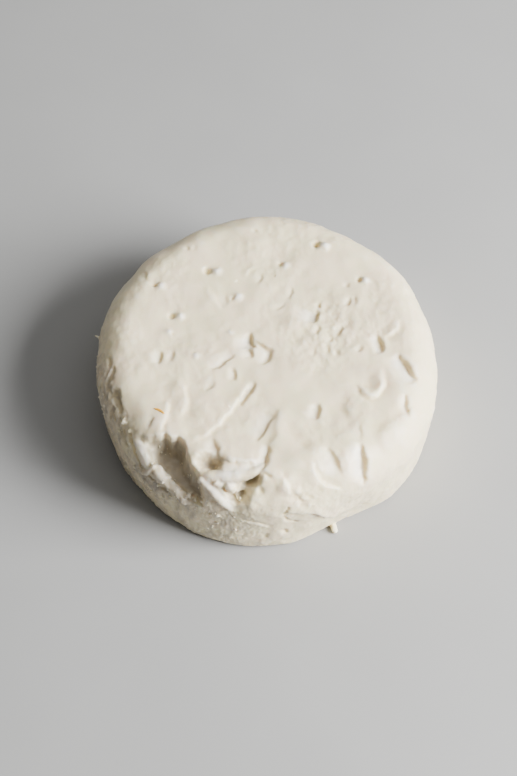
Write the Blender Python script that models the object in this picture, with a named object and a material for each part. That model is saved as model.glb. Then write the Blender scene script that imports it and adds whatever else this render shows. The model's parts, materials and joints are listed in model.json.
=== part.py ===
"""A fresh goat cheese: one soft white round of about 90 x 31 mm, just turned out of its mould.

The top is spread smooth, with lifted marks, overlapping smears and pinholes. The shoulder is rounded.
The front-left edge has broken away: it leaves a deep hollow with rolls and curds of paste on its lip.
The cheese is one solid. +Z is up, -Y is the front, and the origin is the centre of the flat base.
"""

import math
import random
from typing import NamedTuple

import bmesh
import bpy
from mathutils import Matrix, Vector, noise

MM = 0.001  # every size below is in millimetres; MM turns it into Blender's metres

# ---- Driving dimensions ------------------------------------------------------------------------------------
RADIUS = 45.0  # widest, just under the shoulder
HEIGHT = 31.0
FOOT_RADIUS = 44.0  # where the side meets the foot's rounding
FOOT_ROUND = 2.0
SHOULDER_WIDTH = 9.0  # the shoulder's quarter ellipse, measured inwards
SHOULDER_DROP = 10.0  # and downwards

# ---- Mesh spacing ------------------------------------------------------------------------------------------
TOP_RINGS = 34  # ring k of the flat top holds 6 k points
SHOULDER_RINGS = 13
SIDE_RINGS = 12
FOOT_RINGS = 2
ROLL_STEPS = 4  # points of a roll's curve between two of its named ones
ROLL_SIDES = 10
ROLL_TIP = 0.4  # how far a roll's ends reach past its line, as a share of one step
SKIN_STEP = 0.45  # spacing of the skin that is drawn over the fused cheese
KEPT_TRIANGLES = 11400  # once the plain stretches are thinned out

# ---- Crumbly chunks ----------------------------------------------------------------------------------------
FACETS = 14
GOLDEN_ANGLE = math.pi * (3 - math.sqrt(5))  # spreads the facets evenly
EDGE_SHARPNESS = 9
SEED = 7


class Swell(NamedTuple):
    """A stretch of the outline that stands out, or in if it is negative, round one azimuth."""

    azimuth: float
    spread: float
    amount: float


class Lift(NamedTuple):
    """A mark where a blade lifted the paste: a gentle slope down, then a steep wall on its left."""

    start: tuple
    end: tuple
    width: float
    depth: float


class Smear(NamedTuple):
    """The edge of an upper smear of paste, on the right of its line, over a lower one."""

    line: tuple
    height: float


class Crack(NamedTuple):
    """A crease or a crevice along a line on the surface."""

    line: tuple
    half_width: float
    depth: float


class Pinhole(NamedTuple):
    """A pinhole with the small bead that was pushed up beside it."""

    place: tuple
    size: float
    bead: tuple


class Roll(NamedTuple):
    """A roll of paste along a line, with its radius at each point of the line."""

    line: tuple
    radii: tuple


class Lump(NamedTuple):
    """A chunk with blunt facets, added to the cheese or scooped out of it."""

    centre: tuple
    radii: tuple  # along its heading, across it, and the third way
    heading: float  # degrees round Z
    pitch: float  # degrees, nose down
    rough: float  # share of its radius that small bumps take


TOP_SWELLS = (Swell(326, 24, 1.5), Swell(8, 20, -0.9), Swell(60, 22, -0.8), Swell(120, 22, -0.8))
BASE_SWELLS = (Swell(256, 20, 1.4), Swell(298, 13, -2.2), Swell(330, 18, 1.6))

LIFTS = (
    Lift((-4.4, 2.6), (-2.6, -2.0), 6.0, 1.9),
    Lift((-5.2, -2.2), (-4.0, -5.0), 3.0, 0.9),
    Lift((1.2, -2.6), (-1.2, -7.0), 4.2, 0.8),
    Lift((13.2, 9.4), (11.8, 5.4), 7.0, 1.0),
    Lift((28.4, 2.2), (30.0, -3.4), 3.0, 1.5),
    Lift((33.6, -3.8), (38.4, -11.6), 4.6, 2.0),
    Lift((35.5, -15.4), (36.1, -21.0), 2.4, 1.1),
    Lift((13.4, -18.2), (12.4, -23.4), 3.2, 1.4),
    Lift((23.6, -29.4), (24.7, -38.0), 4.8, 2.4),
    Lift((15.0, -30.8), (18.6, -37.6), 4.4, 1.2),
    Lift((0.8, -30.8), (-1.8, -38.4), 2.6, 1.4),
    Lift((1.8, -21.4), (-2.6, -29.8), 5.0, 1.2),
    Lift((-27.7, -2.8), (-27.9, -7.4), 3.6, 1.3),
    Lift((-8.2, -4.4), (-14.6, -8.8), 2.6, 0.8),
    Lift((-28.4, -21.4), (-30.2, -27.0), 2.4, 1.1),
    Lift((-11.4, 14.9), (-10.8, 10.8), 3.4, 0.6),
    Lift((-3.0, -12.2), (-6.6, -18.6), 2.0, 1.0),
)

SMEARS = (
    Smear(((-3.9, -12.4), (-5.6, -15.6), (-8.9, -20.9), (-11.8, -24.7), (-15.1, -28.1), (-18.6, -30.0)), 0.6),
    Smear(((-21.6, -11.6), (-20.3, -16.4), (-20.5, -20.2), (-21.8, -24.2)), 0.5),
    Smear(((-24.8, -18.0), (-25.0, -22.4), (-26.6, -27.4)), 0.6),
    Smear(((29.4, -6.6), (30.0, -12.3), (28.6, -15.4), (26.3, -16.6), (24.4, -15.4), (22.9, -12.2)), 1.1),
    Smear(((34.6, 7.4), (34.1, 4.0), (32.4, 2.1), (30.4, 1.2)), 0.5),
    Smear(((21.4, -39.8), (16.2, -39.6), (12.8, -37.6), (11.6, -34.4)), 0.8),
    Smear(((26.2, -28.0), (30.1, -24.6), (34.6, -20.6), (37.6, -18.2)), 0.7),
    Smear(((0.8, -31.8), (2.2, -26.4), (3.3, -19.2)), 0.5),
    Smear(((13.2, -35.6), (11.6, -31.0), (8.0, -27.0), (5.0, -21.4)), 0.5),
    Smear(((-11.0, -34.8), (-8.0, -35.4), (-4.6, -35.8), (-2.0, -35.6)), 0.7),
)

CRACKS = (
    Crack(((-38.8, -15.4), (-38.4, -17.2), (-37.6, -19.4)), 1.2, 1.5),
    Crack(((-41.0, -4.6), (-40.7, -6.8)), 0.9, 0.7),
    Crack(((-39.8, -7.8), (-40.3, -10.6)), 0.9, 0.7),
    Crack(((-39.9, -18.4), (-38.6, -21.0)), 0.9, 0.9),
    Crack(((-37.2, -22.6), (-36.8, -26.0)), 0.9, 1.1),
)

PINHOLES = (
    Pinhole((13.1, 31.2), 1.1, (2.2, -0.8)),
    Pinhole((-15.9, 22.4), 1.1, (2.4, -0.5)),
    Pinhole((3.1, 24.6), 0.8, (1.9, -0.5)),
    Pinhole((24.6, 19.5), 0.8, (1.6, -0.3)),
    Pinhole((-30.2, 17.5), 0.9, (2.0, -0.8)),
    Pinhole((-25.2, 8.0), 0.8, (2.3, -0.5)),
    Pinhole((-8.7, 13.3), 0.7, (1.0, 0.2)),
)

# ---- The break at the front left ---------------------------------------------------------------------------
# Its rim, with the hollow on the right of the line: x, y and how wide the wall under it is.
RIM = (
    (-34.6, -26.6, 1.2), (-32.6, -26.6, 1.0), (-30.4, -27.0, 0.9), (-28.4, -27.5, 0.9),
    (-26.6, -27.7, 1.2), (-25.0, -27.2, 1.4), (-23.8, -28.5, 1.8), (-22.1, -27.9, 2.0),
    (-20.4, -29.2, 2.2), (-19.4, -31.2, 2.2), (-19.0, -33.7, 2.0), (-17.6, -35.9, 1.8),
    (-16.2, -37.5, 1.6), (-15.4, -38.9, 1.4), (-15.0, -40.2, 1.3), (-14.8, -41.6, 1.2),
    (-14.6, -44.0, 1.0),
)
# The hollow's floor: x, y and height.
FLOOR = (
    (-35.2, -28.8, 25.4), (-33.4, -28.2, 27.2), (-33.2, -30.6, 25.4), (-31.6, -32.8, 23.2),
    (-30.6, -28.6, 27.4), (-30.4, -30.9, 25.8), (-28.6, -29.2, 26.4), (-28.7, -31.7, 24.6),
    (-26.2, -30.0, 22.8), (-26.0, -32.4, 21.6), (-24.0, -31.4, 21.6), (-22.0, -33.4, 21.4),
    (-21.0, -35.6, 21.0), (-19.6, -37.6, 20.4), (-18.2, -39.6, 19.6), (-17.2, -41.6, 18.6),
    (-29.4, -34.2, 22.8), (-27.6, -35.0, 22.2), (-25.8, -36.6, 21.2), (-23.4, -38.0, 20.2),
    (-21.4, -39.8, 19.0), (-19.0, -42.0, 17.4),
)
FLOOR_SPREAD = 1.5  # how far each of those heights reaches
FAR_SHARE = 1e-4  # what a height still counts for far from its place
RIM_WANDER = 0.6
CRAGS = 0.25
BREAK_BOTTOM = 12.0  # the break stays above this height
BREAK_CORNER = (-11.0, -22.0)  # and to the left of this corner and in front of it

# The pockets beside the hollow.
SCOOPS = (
    Lump((-13.9, -35.7, 31.6), (3.0, 2.1, 5.2), 15, 0, 0.1),
    Lump((-3.4, -40.2, 31.2), (3.6, 2.4, 5.0), 228, 20, 0.1),
    Lump((-6.2, -44.0, 27.0), (3.6, 1.7, 3.8), 228, 30, 0.1),
)

# The rolled flap over the deep pocket, the crest beside the hollow, the roll on the hollow's lip and the thin
# flake that stands before its left wall.
ROLLS = (
    Roll(((-15.4, -38.0, 28.2), (-13.2, -38.3, 28.6), (-10.3, -38.5, 28.9), (-7.0, -38.6, 29.2),
          (-4.2, -38.1, 29.6), (-1.8, -36.9, 30.1), (-0.4, -35.8, 30.1)),
         (0.9, 1.5, 1.9, 2.0, 1.4, 0.9, 0.5)),
    Roll(((-15.6, -38.5, 27.4), (-14.0, -40.1, 26.8), (-12.2, -41.7, 25.5), (-10.4, -42.9, 24.1),
          (-9.0, -43.7, 22.7), (-8.0, -44.1, 21.2)), (0.9, 1.3, 1.5, 1.45, 1.1, 0.5)),
    Roll(((-28.2, -32.9, 24.2), (-27.0, -34.4, 23.4), (-25.8, -35.7, 21.9), (-24.4, -36.8, 20.8),
          (-22.7, -37.9, 20.5), (-21.3, -39.3, 19.1), (-20.2, -40.5, 17.6)),
         (0.6, 1.3, 1.6, 0.9, 1.4, 1.2, 0.6)),
    Roll(((-30.8, -33.2, 20.6), (-29.8, -33.9, 22.4), (-28.2, -33.8, 25.2)), (0.85, 0.6, 0.4)),
)

# White curds under the flap, the flake's knot, a crumb by the foot, two bits on the rim and a flake on the
# far left.
CURDS = (
    Lump((-11.5, -40.0, 28.3), (1.8, 1.3, 1.3), 350, 10, 0.08),
    Lump((-8.7, -41.0, 28.1), (2.0, 1.6, 1.5), 320, 0, 0.08),
    Lump((-6.5, -43.1, 25.9), (0.75, 0.75, 1.3), 0, 20, 0.1),
    Lump((-30.8, -33.2, 20.6), (0.9, 0.9, 0.9), 0, 0, 0.1),
    Lump((17.2, -39.3, 1.1), (2.4, 1.0, 1.3), 278, 0, 0.08),
    Lump((-36.3, -22.6, 27.5), (0.8, 0.8, 1.3), 0, 0, 0.2),
    Lump((-34.8, -25.1, 27.4), (0.6, 0.7, 0.9), 0, 0, 0.2),
    Lump((-44.9, 5.6, 22.6), (0.5, 1.2, 0.6), 172, 0, 0.15),
)
LIP_CURDS = 26  # smaller curds strewn along the hollow's lower lip
LIP_AZIMUTHS = (222, 256)
LIP_HEIGHTS = (15.0, 20.5)
LIP_SIZES = (0.6, 1.1)


# ---- The intact round --------------------------------------------------------------------------------------
def swell_at(azimuth, swells):
    """How far the outline stands out at an azimuth in degrees."""
    total = 0.0
    for swell in swells:
        away = (azimuth - swell.azimuth + 180) % 360 - 180
        total += swell.amount * math.exp(-((away / swell.spread) ** 2))
    return total


def outline(x, y, z):
    """The point moved out or in to the cheese's uneven plan, more so towards its rim."""
    radius = math.hypot(x, y)
    azimuth = math.degrees(math.atan2(y, x))
    high = min(max(z / (HEIGHT - SHOULDER_DROP), 0.0), 1.0)
    high = high * high * (3 - 2 * high)
    amount = high * swell_at(azimuth, TOP_SWELLS) + (1 - high) * swell_at(azimuth, BASE_SWELLS)
    scale = 1 + amount * min(radius / RADIUS, 1.0) ** 3 / RADIUS
    return Vector((x * scale, y * scale, z))


def top_height(radius):
    """Height of the intact upper surface at a distance from the axis."""
    past_flat = max(radius - (RADIUS - SHOULDER_WIDTH), 0.0) / SHOULDER_WIDTH
    return HEIGHT - SHOULDER_DROP + SHOULDER_DROP * math.sqrt(max(1 - past_flat**2, 0.0))


def on_surface(x, y):
    return Vector((x, y, top_height(math.hypot(x, y))))


def profile():
    """(radius, height) of each ring past the flat top: the shoulder, the side and the foot."""
    rings = []
    for i in range(1, SHOULDER_RINGS + 1):
        angle = math.pi / 2 * (1 - i / SHOULDER_RINGS)
        radius = RADIUS - SHOULDER_WIDTH + SHOULDER_WIDTH * math.cos(angle)
        rings.append((radius, HEIGHT - SHOULDER_DROP + SHOULDER_DROP * math.sin(angle)))
    side_drop = HEIGHT - SHOULDER_DROP - FOOT_ROUND
    for i in range(1, SIDE_RINGS + 1):
        down = i / SIDE_RINGS
        bulge = (RADIUS - FOOT_RADIUS) * (1 - down**2)
        rings.append((FOOT_RADIUS + bulge, HEIGHT - SHOULDER_DROP - side_drop * down))
    for i in range(1, FOOT_RINGS + 1):
        angle = math.pi / 2 * i / FOOT_RINGS
        radius = FOOT_RADIUS - FOOT_ROUND * (1 - math.cos(angle))
        rings.append((radius, FOOT_ROUND * (1 - math.sin(angle))))
    return rings


# ---- Relief: how far the surface stands above the intact round, along its normal ---------------------------
def smooth(t):
    t = min(max(t, 0.0), 1.0)
    return t * t * (3 - 2 * t)


def lift_depth(mark, point, normal):
    start, end = on_surface(*mark.start), on_surface(*mark.end)
    half = (end - start) / 2
    offset = point - (start + end) / 2
    along = offset.dot(half) / half.length_squared
    across = offset.dot(normal.cross(half.normalized()))
    wall = 0.35 * mark.width
    if abs(along) >= 1 or not -mark.width < across < wall or abs(offset.dot(normal)) > mark.width + 2:
        return 0.0
    slope = (across / mark.width + 1) ** 1.5 if across < 0 else 1 - across / wall
    return mark.depth * slope * (1 - along**2) ** 0.6


def near_line(point, line):
    """Distance from a point to a line, how far it lies to the line's right, and the share along the line."""
    nearest, side, share = math.inf, 0.0, 0.0
    for i, (a, b) in enumerate(zip(line, line[1:])):
        way = b - a
        t = min(max((point - a).dot(way) / way.length_squared, 0.0), 1.0)
        offset = point - a - way * t
        if offset.length < nearest:
            nearest = offset.length
            side = way.normalized().cross(Vector((0, 0, 1))).dot(offset)
            share = (i + t) / (len(line) - 1)
    return nearest, side, share


def smear_height(edge, point):
    """The upper smear thins out away from its edge, and the lower one is dished beside it."""
    nearest, side, share = near_line(point, [on_surface(*place) for place in edge.line])
    ends = smooth(5 * share) * smooth(5 * (1 - share))
    upper = smooth(0.5 + side / 1.2) * math.exp(-((nearest / 5.0) ** 2))
    lower = smooth(0.5 - side / 1.2) * math.exp(-((nearest / 2.6) ** 2))
    return edge.height * ends * (upper - 0.6 * lower)


def crack_depth(crack, point):
    nearest = near_line(point, [on_surface(*place) for place in crack.line])[0]
    return crack.depth * math.exp(-((nearest / crack.half_width) ** 2))


def pinhole_height(hole, point):
    x, y = hole.place
    to_hole = math.hypot(point.x - x, point.y - y)
    to_bead = math.hypot(point.x - x - hole.bead[0], point.y - y - hole.bead[1])
    pit = -1.3 * hole.size * math.exp(-((to_hole / hole.size) ** 2))
    return pit + 0.45 * hole.size * math.exp(-((to_bead / hole.size) ** 2))


def window(value, low, high, fade):
    """1 between low and high, and 0 once fade beyond them."""
    return smooth((value - low) / fade + 1) * smooth((high - value) / fade + 1)


def crumble(point):
    """How crumbly the surface is: most below the break and along the left shoulder."""
    azimuth = math.degrees(math.atan2(point.y, point.x)) % 360
    below = window(azimuth, 195, 275, 18) * window(point.z, 3, 28, 2)
    return 0.15 + 0.85 * below


def relief(point, normal):
    height = 0.4 * noise.noise(point / 13)
    height += 0.15 * noise.noise(Vector((point.x / 3, point.y / 6, point.z / 4)))
    if point.z > HEIGHT - SHOULDER_DROP:
        height -= sum(lift_depth(mark, point, normal) for mark in LIFTS)
        height += sum(smear_height(edge, point) for edge in SMEARS)
        height -= sum(crack_depth(crack, point) for crack in CRACKS)
        height += sum(pinhole_height(hole, point) for hole in PINHOLES)
    flank = 1 - smooth((normal.z - 0.2) / 0.5)
    grain = noise.noise(point / 2.2) + 0.6 * noise.noise(point / 1.3)
    return height + 0.55 * flank * crumble(point) * grain + fold_height(point)


def fold_height(point):
    """The shoulder's mass laps over the lower side at the front right, along a falling crease."""
    azimuth = math.degrees(math.atan2(point.y, point.x)) % 360
    crease = 21.5 - 0.045 * max(azimuth - 276, 0) ** 1.75
    near = window(azimuth, 276, 300, 8)
    return near * 0.9 * math.exp(-(((point.z - crease) / 3.5) ** 2)) * smooth(0.5 + (point.z - crease) / 1.6)


# ---- The hollow --------------------------------------------------------------------------------------------
def between(values, place):
    """The value at a place between two of the list's own."""
    before = min(int(place), len(values) - 2)
    return values[before] + (values[before + 1] - values[before]) * (place - before)


def floor_height(x, y):
    """The hollow's floor: the named heights, each weighted by how near it is."""
    total, weights = 0.0, 0.0
    for floor_x, floor_y, z in FLOOR:
        away = math.hypot(x - floor_x, y - floor_y)
        weight = math.exp(-((away / FLOOR_SPREAD) ** 2)) + FAR_SHARE / (1 + away**4)
        total += weight * z
        weights += weight
    return total / weights


def sink_break(mesh):
    """Lowers what lies inside the rim to the hollow's floor, down a wall as wide as the rim's points say."""
    rim = [Vector((x, y, 0)) for x, y, wall in RIM]
    walls = [wall for x, y, wall in RIM]
    for vertex in mesh.verts:
        x, y, z = vertex.co
        if z < BREAK_BOTTOM or x > BREAK_CORNER[0] or y > BREAK_CORNER[1]:
            continue
        wander = Vector((noise.noise(vertex.co / 2.2), noise.noise(vertex.co / 2.2 + Vector((9, 9, 9))), 0))
        side, share = near_line(Vector((x, y, 0)) + RIM_WANDER * wander, rim)[1:]
        if side > 0:
            wall = between(walls, share * (len(walls) - 1))
            floor = floor_height(x, y) + CRAGS * noise.noise(vertex.co / 1.2)
            vertex.co.z += (min(floor, z) - z) * smooth(side / wall)


# ---- Building ----------------------------------------------------------------------------------------------
def add_ring(mesh, radius, z, count):
    angles = (2 * math.pi * i / count for i in range(count))
    return [mesh.verts.new(outline(radius * math.cos(a), radius * math.sin(a), z)) for a in angles]


def join_growing_rings(mesh, inner, outer):
    """Faces between two rings of the flat top, the outer one with six more points."""
    step = len(outer) // 6
    for sector in range(6):
        for j in range(step):
            a = outer[(sector * step + j) % len(outer)]
            b = outer[(sector * step + j + 1) % len(outer)]
            c = inner[(sector * (step - 1) + j) % len(inner)]
            mesh.faces.new((a, b, c))
            if j < step - 1:
                d = inner[(sector * (step - 1) + j + 1) % len(inner)]
                mesh.faces.new((c, b, d))


def join_equal_rings(mesh, upper, lower):
    for i in range(len(upper)):
        k = (i + 1) % len(upper)
        mesh.faces.new((upper[i], lower[i], lower[k], upper[k]))


def make_round():
    """The cheese with its relief and the hollow at its edge, before the rolls and curds."""
    mesh = bmesh.new()
    flat = RADIUS - SHOULDER_WIDTH
    rings = [[mesh.verts.new((0, 0, HEIGHT))]]
    for k in range(1, TOP_RINGS + 1):
        rings.append(add_ring(mesh, flat * k / TOP_RINGS, HEIGHT, 6 * k))
        join_growing_rings(mesh, rings[-2], rings[-1])
    for radius, z in profile():
        rings.append(add_ring(mesh, radius, z, 6 * TOP_RINGS))
        join_equal_rings(mesh, rings[-2], rings[-1])
    base = mesh.faces.new(reversed(rings[-1]))
    refine_break(mesh)
    mesh.normal_update()
    standing = set(base.verts)
    moves = {v: v.normal * relief(v.co, v.normal) for v in mesh.verts if v not in standing}
    for vertex, move in moves.items():
        vertex.co += move
    sink_break(mesh)
    return to_object(mesh, "cheese")


def refine_break(mesh):
    """A mesh twice as fine where the edge has broken away."""
    near = []
    for edge in mesh.edges:
        middle = (edge.verts[0].co + edge.verts[1].co) / 2
        if middle.x < BREAK_CORNER[0] and middle.y < BREAK_CORNER[1] and middle.z > BREAK_BOTTOM:
            near.append(edge)
    bmesh.ops.subdivide_edges(mesh, edges=near, cuts=1, use_grid_fill=True)
    borders = [face for face in mesh.faces if len(face.verts) > 4 and face.calc_center_median().z > 0]
    bmesh.ops.triangulate(mesh, faces=borders)


def make_lump(lump, name):
    """An icosphere cut to blunt facets, bumped and stretched to the lump's radii."""
    mesh = bmesh.new()
    bmesh.ops.create_icosphere(mesh, subdivisions=3 if max(lump.radii) > 1.6 else 2, radius=1)
    turn = Matrix.Rotation(math.radians(lump.heading), 4, "Z")
    turn @= Matrix.Rotation(math.radians(lump.pitch), 4, "Y")
    place = Matrix.Translation(lump.centre) @ turn @ Matrix.Diagonal((*lump.radii, 1))
    facets = blunt_facets(random.Random(SEED + round(sum(lump.centre) * 10)))
    shift = Vector(lump.centre)
    for vertex in mesh.verts:
        bumps = noise.noise(vertex.co * 2.2 + shift) + 0.5 * noise.noise(vertex.co * 4.7 + shift)
        vertex.co = place @ (vertex.co * (reach(vertex.co, facets) + lump.rough * bumps))
    return to_object(mesh, name)


def curve_through(line):
    """Points of a smooth (Catmull-Rom) curve through the line's own."""
    line = [Vector(place) for place in line]
    ends = [line[0], *line, line[-1]]
    points = []
    for a, b, c, d in zip(ends, ends[1:], ends[2:], ends[3:]):
        for step in range(ROLL_STEPS):
            t = step / ROLL_STEPS
            bend = (2 * a - 5 * b + 4 * c - d) * t**2 + (3 * b - 3 * c + d - a) * t**3
            points.append(b + ((c - a) * t + bend) / 2)
    return [*points, line[-1]]


def make_roll(roll, name):
    """A closed tube along the roll's curve, uneven, with its ends drawn together."""
    mesh = bmesh.new()
    points = curve_through(roll.line)
    rings = []
    for k, middle in enumerate(points):
        radius = between(roll.radii, k / ROLL_STEPS)
        way = (points[min(k + 1, len(points) - 1)] - points[max(k - 1, 0)]).normalized()
        across = way.cross(Vector((0, 0, 1))).normalized()
        up = across.cross(way)
        ring = []
        for i in range(ROLL_SIDES):
            angle = 2 * math.pi * i / ROLL_SIDES
            spot = middle + radius * (math.cos(angle) * across + math.sin(angle) * up)
            ring.append(mesh.verts.new(spot + 0.2 * noise.noise_vector(spot / 1.6)))
        rings.append(ring)
    for a, b in zip(rings, rings[1:]):
        join_equal_rings(mesh, a, b)
    for ring, end, before in ((rings[0], points[0], points[1]), (rings[-1], points[-1], points[-2])):
        tip = mesh.verts.new(end + (end - before) * ROLL_TIP)
        for i, vertex in enumerate(ring):
            mesh.faces.new((vertex, ring[(i + 1) % ROLL_SIDES], tip))
    bmesh.ops.triangulate(mesh, faces=mesh.faces)
    bmesh.ops.recalc_face_normals(mesh, faces=mesh.faces)
    return to_object(mesh, name)


def blunt_facets(draw):
    """Random planes round a unit chunk: each one's normal and its distance from the middle."""
    facets = []
    for i in range(FACETS):
        z = 1 - 2 * (i + 0.5) / FACETS
        azimuth = GOLDEN_ANGLE * i + draw.uniform(-0.5, 0.5)
        flat = math.sqrt(1 - z * z)
        normal = Vector((flat * math.cos(azimuth), flat * math.sin(azimuth), z))
        facets.append((normal, draw.uniform(0.72, 0.98)))
    return facets


def reach(direction, facets):
    """How far the chunk reaches in a direction, its facets meeting in rounded edges."""
    total = sum((max(direction.dot(normal), 0) / distance) ** EDGE_SHARPNESS for normal, distance in facets)
    return total ** (-1 / EDGE_SHARPNESS)


def lip_curds():
    """Small curds strewn along the lower lip of the hollow."""
    draw = random.Random(SEED)
    lumps = []
    for i in range(LIP_CURDS):
        share = (i + draw.uniform(0.1, 0.9)) / LIP_CURDS
        azimuth = math.radians(LIP_AZIMUTHS[0] + share * (LIP_AZIMUTHS[1] - LIP_AZIMUTHS[0]))
        size = draw.uniform(*LIP_SIZES)
        radius = RADIUS - draw.uniform(0.4, 1.1)
        centre = (radius * math.cos(azimuth), radius * math.sin(azimuth), draw.uniform(*LIP_HEIGHTS))
        radii = (size, size * draw.uniform(0.6, 0.9), size * draw.uniform(0.8, 1.5))
        lumps.append(Lump(centre, radii, draw.uniform(0, 360), draw.uniform(-30, 30), 0.15))
    return lumps


def to_object(mesh, name):
    """The bmesh, in millimetres, as an object in metres."""
    bmesh.ops.scale(mesh, vec=(MM, MM, MM), verts=mesh.verts)
    data = bpy.data.meshes.new(name)
    mesh.to_mesh(data)
    mesh.free()
    made = bpy.data.objects.new(name, data)
    bpy.context.scene.collection.objects.link(made)
    return made


def fuse(cheese, pieces, operation):
    """Joins the lumps and rolls to the cheese, or cuts them from it, and removes them."""
    helpers = bpy.data.collections.new(operation.lower())
    for i, piece in enumerate(pieces):
        make = make_roll if isinstance(piece, Roll) else make_lump
        helper = make(piece, f"{operation.lower()}_{i}")
        bpy.context.scene.collection.objects.unlink(helper)
        helpers.objects.link(helper)
    bpy.context.scene.collection.children.link(helpers)
    boolean = cheese.modifiers.new(operation, "BOOLEAN")
    boolean.operation = operation
    boolean.operand_type = "COLLECTION"
    boolean.collection = helpers
    boolean.solver = "MANIFOLD"
    keep_shape(cheese)
    for helper in list(helpers.objects):
        bpy.data.objects.remove(helper)
    bpy.data.collections.remove(helpers)


def keep_shape(cheese):
    """Puts the evaluated shape in place of the object's mesh and modifiers."""
    graph = bpy.context.evaluated_depsgraph_get()
    shape = bpy.data.meshes.new_from_object(cheese.evaluated_get(graph))
    cheese.modifiers.clear()
    cheese.data = shape


def keep_whole(cheese):
    """Leaves only the largest body, without scraps that the scoops cut loose."""
    mesh = bmesh.new()
    mesh.from_mesh(cheese.data)
    left, bodies = set(mesh.verts), []
    while left:
        body, edge = set(), [left.pop()]
        while edge:
            vertex = edge.pop()
            body.add(vertex)
            near = {e.other_vert(vertex) for e in vertex.link_edges} & left
            left -= near
            edge.extend(near)
        bodies.append(body)
    bodies.sort(key=len)
    loose = [vertex for body in bodies[:-1] for vertex in body]
    bmesh.ops.delete(mesh, geom=loose, context="VERTS")
    mesh.to_mesh(cheese.data)
    mesh.free()


def even_out(cheese):
    """One even skin over the cheese and what is fused to it, its creases a little softened."""
    skin = cheese.modifiers.new("even_out", "REMESH")
    skin.mode = "VOXEL"
    skin.voxel_size = SKIN_STEP * MM
    soften = cheese.modifiers.new("soften", "SMOOTH")
    soften.iterations = 3
    keep_shape(cheese)


def thin_out(cheese):
    """Fewer faces where the surface is plain, and a foot that stays flat."""
    decimate = cheese.modifiers.new("thin_out", "DECIMATE")
    decimate.ratio = KEPT_TRIANGLES / sum(len(face.vertices) - 2 for face in cheese.data.polygons)
    decimate.use_collapse_triangulate = True
    keep_shape(cheese)
    for vertex in cheese.data.vertices:
        if vertex.co.z < 0.15 * MM:
            vertex.co.z = 0


def make_paste():
    """The material: a moist, matt, warm white paste."""
    paste = bpy.data.materials.new("fresh_paste")
    paste.use_nodes = True
    shader = paste.node_tree.nodes["Principled BSDF"]
    shader.inputs["Base Color"].default_value = (0.84, 0.80, 0.72, 1)
    shader.inputs["Roughness"].default_value = 0.5
    shader.inputs["Metallic"].default_value = 0
    return paste


def main():
    for thing in list(bpy.data.objects):
        bpy.data.objects.remove(thing)
    cheese = make_round()
    fuse(cheese, SCOOPS, "DIFFERENCE")
    fuse(cheese, (*ROLLS, *CURDS, *lip_curds()), "UNION")
    even_out(cheese)
    keep_whole(cheese)
    thin_out(cheese)
    cheese.data.materials.clear()
    cheese.data.materials.append(make_paste())
    cheese.data.shade_smooth()
    cheese.data.set_sharp_from_angle(angle=math.radians(50))


main()
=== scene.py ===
import json
import math
import random

import bmesh
import bpy
import numpy as np
from mathutils import Matrix, Vector, noise

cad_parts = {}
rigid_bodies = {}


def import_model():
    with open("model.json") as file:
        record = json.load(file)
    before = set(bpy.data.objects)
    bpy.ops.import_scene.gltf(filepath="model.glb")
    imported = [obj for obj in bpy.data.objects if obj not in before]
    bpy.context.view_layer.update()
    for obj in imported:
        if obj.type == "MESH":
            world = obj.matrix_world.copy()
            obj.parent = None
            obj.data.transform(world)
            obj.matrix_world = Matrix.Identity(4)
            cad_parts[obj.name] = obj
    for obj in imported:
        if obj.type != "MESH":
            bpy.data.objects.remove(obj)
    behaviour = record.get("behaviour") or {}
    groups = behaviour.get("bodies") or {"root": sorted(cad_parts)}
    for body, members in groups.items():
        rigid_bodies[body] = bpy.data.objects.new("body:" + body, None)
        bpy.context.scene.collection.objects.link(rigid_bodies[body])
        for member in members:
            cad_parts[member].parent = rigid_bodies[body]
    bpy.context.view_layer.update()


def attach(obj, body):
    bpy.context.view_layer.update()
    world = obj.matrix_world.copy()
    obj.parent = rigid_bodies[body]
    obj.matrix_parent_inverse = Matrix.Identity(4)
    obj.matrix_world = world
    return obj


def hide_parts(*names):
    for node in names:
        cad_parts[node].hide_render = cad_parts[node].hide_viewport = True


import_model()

mm = 0.001  # sizes in the dictionaries are millimetres


def operator(name, swapped=False):
    def apply(self, other):
        return self.graph.math(name, *((other, self) if swapped else (self, other)))
    return apply


class Wire:  # one output socket of a node; its operators add Math nodes
    def __init__(self, graph, socket):
        self.graph = graph
        self.socket = socket

    __add__ = __radd__ = operator("ADD")
    __sub__, __rsub__ = operator("SUBTRACT"), operator("SUBTRACT", swapped=True)
    __mul__ = __rmul__ = operator("MULTIPLY")
    __truediv__, __rtruediv__ = operator("DIVIDE"), operator("DIVIDE", swapped=True)
    __pow__ = operator("POWER")


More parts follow.
